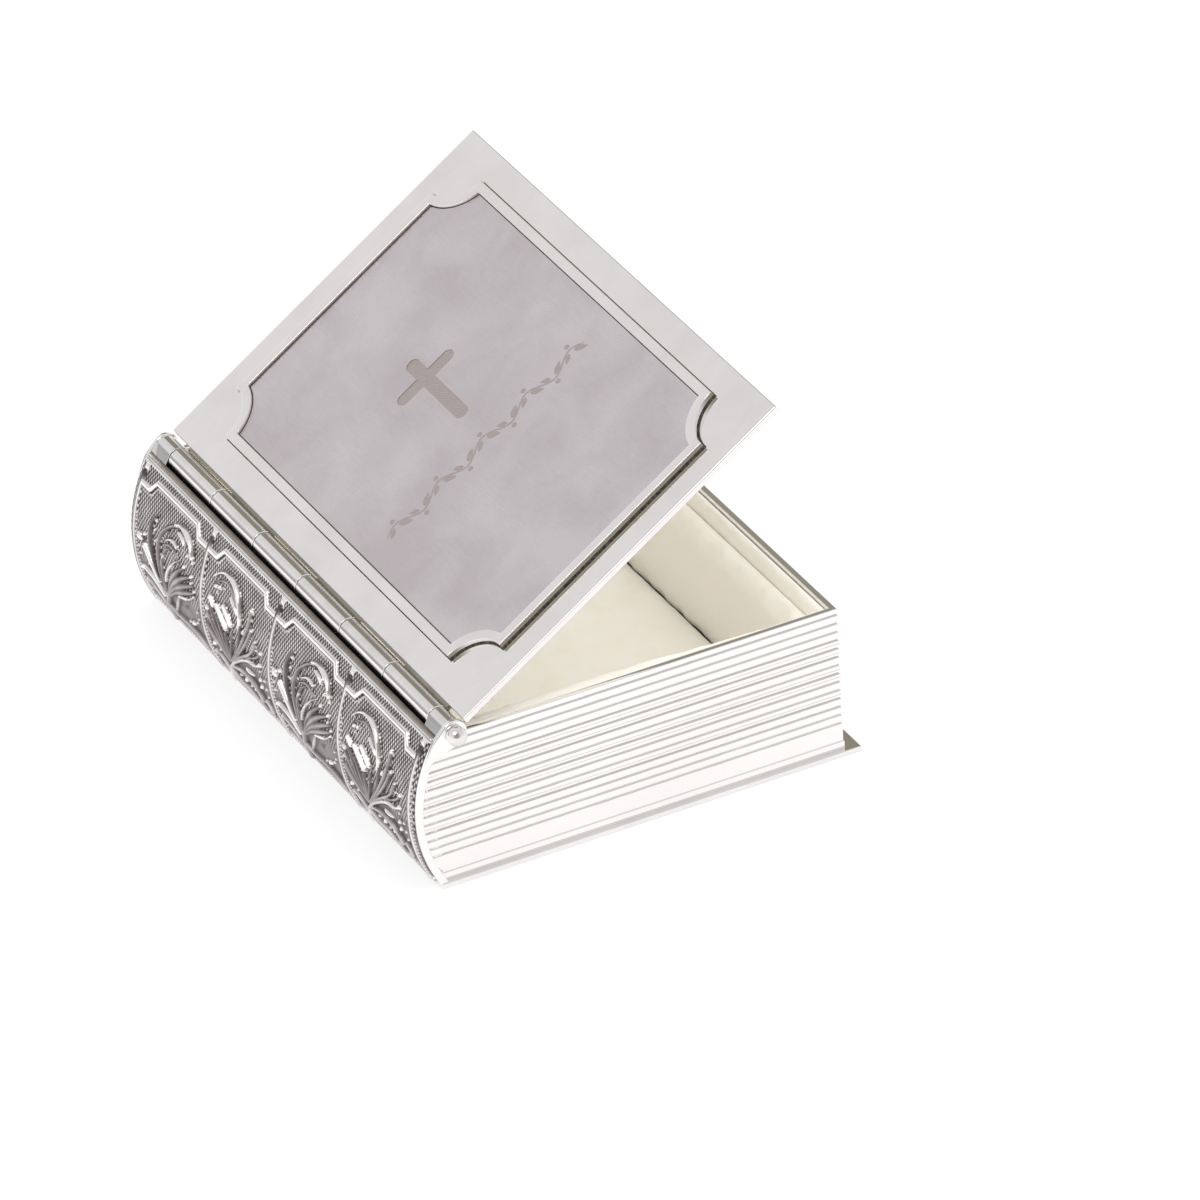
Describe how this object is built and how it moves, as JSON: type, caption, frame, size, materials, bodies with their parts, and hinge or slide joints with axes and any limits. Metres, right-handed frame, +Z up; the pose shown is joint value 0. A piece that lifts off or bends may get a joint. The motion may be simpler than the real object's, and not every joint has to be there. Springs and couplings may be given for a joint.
{
  "type": "keepsake box",
  "caption": "Book-shaped metal keepsake box with a hinged cover, ribbed page edges, an embossed round spine and a padded fabric lining.",
  "frame": {"origin": "centre of the base plate's underside, on the table", "axes": "+Z up, the spine and the hinge at -X, the fore-edge at +X, the foot of the book at -Y and its head at +Y; the cover is stored 33.8 degrees open"},
  "size_m": [0.0815, 0.1077, 0.07],
  "materials": {
    "polished_silver_plate": "polished silver plate, mirror bright",
    "satin_nickel": "satin nickel with an etched cross",
    "antique_silver": "embossed and oxidised antique silver with rubbed highlights",
    "plain_steel": "plain plated sheet, hidden under the lining",
    "backing_card": "plain grey-brown backing card",
    "ivory_velvet": "short-pile ivory velveteen over soft wadding"
  },
  "bodies": {
    "box": {"base_plate": "polished_silver_plate", "front_page_wall": "polished_silver_plate", "rear_page_wall": "polished_silver_plate", "fore_edge_page_wall": "polished_silver_plate", "spine_side_wall": "plain_steel", "spine_shell": "antique_silver", "front_spine_rim": "polished_silver_plate", "rear_spine_rim": "polished_silver_plate", "box_hinge_leaf": "polished_silver_plate", "hinge_pin": "polished_silver_plate", "base_card": "backing_card", "base_pad": "ivory_velvet", "front_lining": "ivory_velvet", "rear_lining": "ivory_velvet", "spine_lining": "ivory_velvet", "fore_edge_strip": "ivory_velvet", "fore_edge_lining": "ivory_velvet"},
    "lid": {"lid_hinge_leaf": "polished_silver_plate", "lid_plate": "polished_silver_plate", "lid_moulding": "polished_silver_plate", "lid_plaque": "satin_nickel", "lid_card": "backing_card", "lid_lining": "ivory_velvet"}
  },
  "joints": [
    {"name": "lid_hinge", "type": "hinge", "parent": "box", "child": "lid", "pos_m": [-0.0348, 0, 0.0286], "axis": [0, -1, 0], "range_deg": [-33.8, 66.2]}
  ]
}
